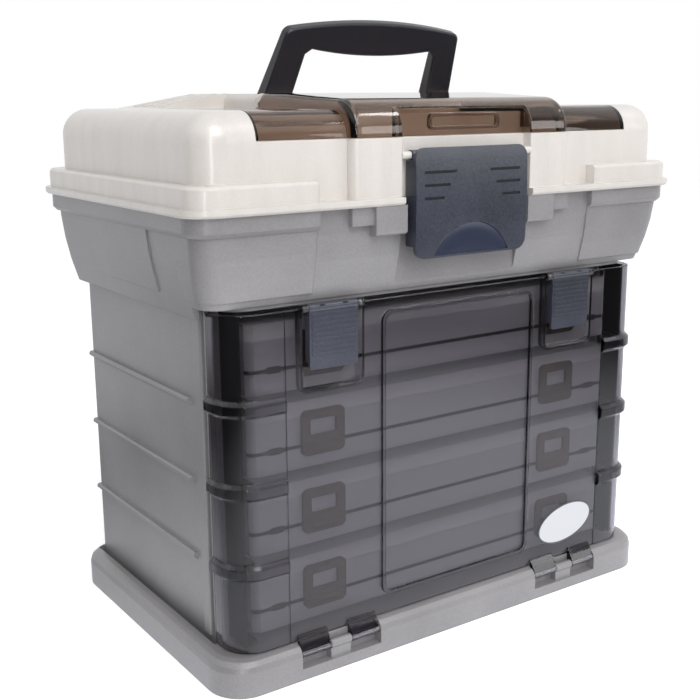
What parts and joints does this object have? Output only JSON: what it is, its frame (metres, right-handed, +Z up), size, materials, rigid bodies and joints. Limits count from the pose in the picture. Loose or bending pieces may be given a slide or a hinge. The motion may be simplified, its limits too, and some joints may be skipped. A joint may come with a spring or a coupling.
{
  "type": "tackle box",
  "caption": "Tackle box: a cabinet of clear utility trays behind a drop-down clear door, under a lidded tub with a clear-topped compartment and a folding handle.",
  "frame": {"origin": "centre of the underside of the plinth", "axes": "+Z up; the front, with the door and the latches, faces -Y; +X to the right seen from the front"},
  "size_m": [0.4614, 0.2904, 0.4779],
  "materials": {
    "case_grey": "satin, fine shimmer",
    "rack_grey": "satin",
    "lid_pearl": "pearl satin",
    "cover_smoke": "clear smoke brown, glossy",
    "door_smoke": "clear smoke grey, glossy",
    "tray_clear": "clear, glossy",
    "clasp_smoke": "translucent smoke",
    "handle_black": "satin",
    "latch_charcoal": "fine textured satin",
    "pin_steel": "drawn wire"
  },
  "bodies": {
    "case": {"base_plinth": "case_grey", "cabinet_shell": "case_grey", "rack_left": "rack_grey", "rack_right": "rack_grey", "upper_tub": "case_grey", "lid_hinge_pins": "pin_steel", "door_hinge_pins": "pin_steel", "tray_1_base": "tray_clear", "tray_1_lid": "tray_clear", "tray_1_clasps": "clasp_smoke", "tray_1_dividers": "tray_clear", "tray_2_base": "tray_clear", "tray_2_lid": "tray_clear", "tray_2_clasps": "clasp_smoke", "tray_2_dividers": "tray_clear", "tray_3_base": "tray_clear", "tray_3_lid": "tray_clear", "tray_3_clasps": "clasp_smoke", "tray_3_dividers": "tray_clear", "tray_4_base": "tray_clear", "tray_4_lid": "tray_clear", "tray_4_clasps": "clasp_smoke", "tray_4_dividers": "tray_clear"},
    "lid": {"lid_shell": "lid_pearl", "lid_pan": "lid_pearl", "top_cover_pin": "pin_steel", "handle_pins": "pin_steel", "main_latch_pin": "pin_steel"},
    "top_cover": {"top_cover": "cover_smoke"},
    "handle": {"handle": "handle_black"},
    "main_latch": {"main_latch": "latch_charcoal"},
    "door": {"door": "door_smoke", "door_latch_pins": "pin_steel"},
    "door_latch_left": {"door_latch_left": "latch_charcoal"},
    "door_latch_right": {"door_latch_right": "latch_charcoal"}
  },
  "joints": [
    {"name": "lid_hinge", "type": "hinge", "parent": "case", "child": "lid", "pos_m": [0, 0.144, 0.3465], "axis": [-1, 0, 0], "range_deg": [0, 105]},
    {"name": "top_cover_hinge", "type": "hinge", "parent": "lid", "child": "top_cover", "pos_m": [0, -0.0062, 0.4184], "axis": [-1, 0, 0], "range_deg": [0, 55]},
    {"name": "handle_hinge", "type": "hinge", "parent": "lid", "child": "handle", "pos_m": [0, 0.0145, 0.405], "axis": [-1, 0, 0], "range_deg": [0, 117]},
    {"name": "main_latch_hinge", "type": "hinge", "parent": "lid", "child": "main_latch", "pos_m": [0, -0.1344, 0.378], "axis": [-1, 0, 0], "range_deg": [0, 95]},
    {"name": "door_hinge", "type": "hinge", "parent": "case", "child": "door", "pos_m": [0, -0.133, 0.02], "axis": [1, 0, 0], "range_deg": [0, 90]},
    {"name": "door_latch_left_hinge", "type": "hinge", "parent": "door", "child": "door_latch_left", "pos_m": [-0.117, -0.1276, 0.2755], "axis": [-1, 0, 0], "range_deg": [0, 90]},
    {"name": "door_latch_right_hinge", "type": "hinge", "parent": "door", "child": "door_latch_right", "pos_m": [0.117, -0.1276, 0.2755], "axis": [-1, 0, 0], "range_deg": [0, 90]}
  ]
}
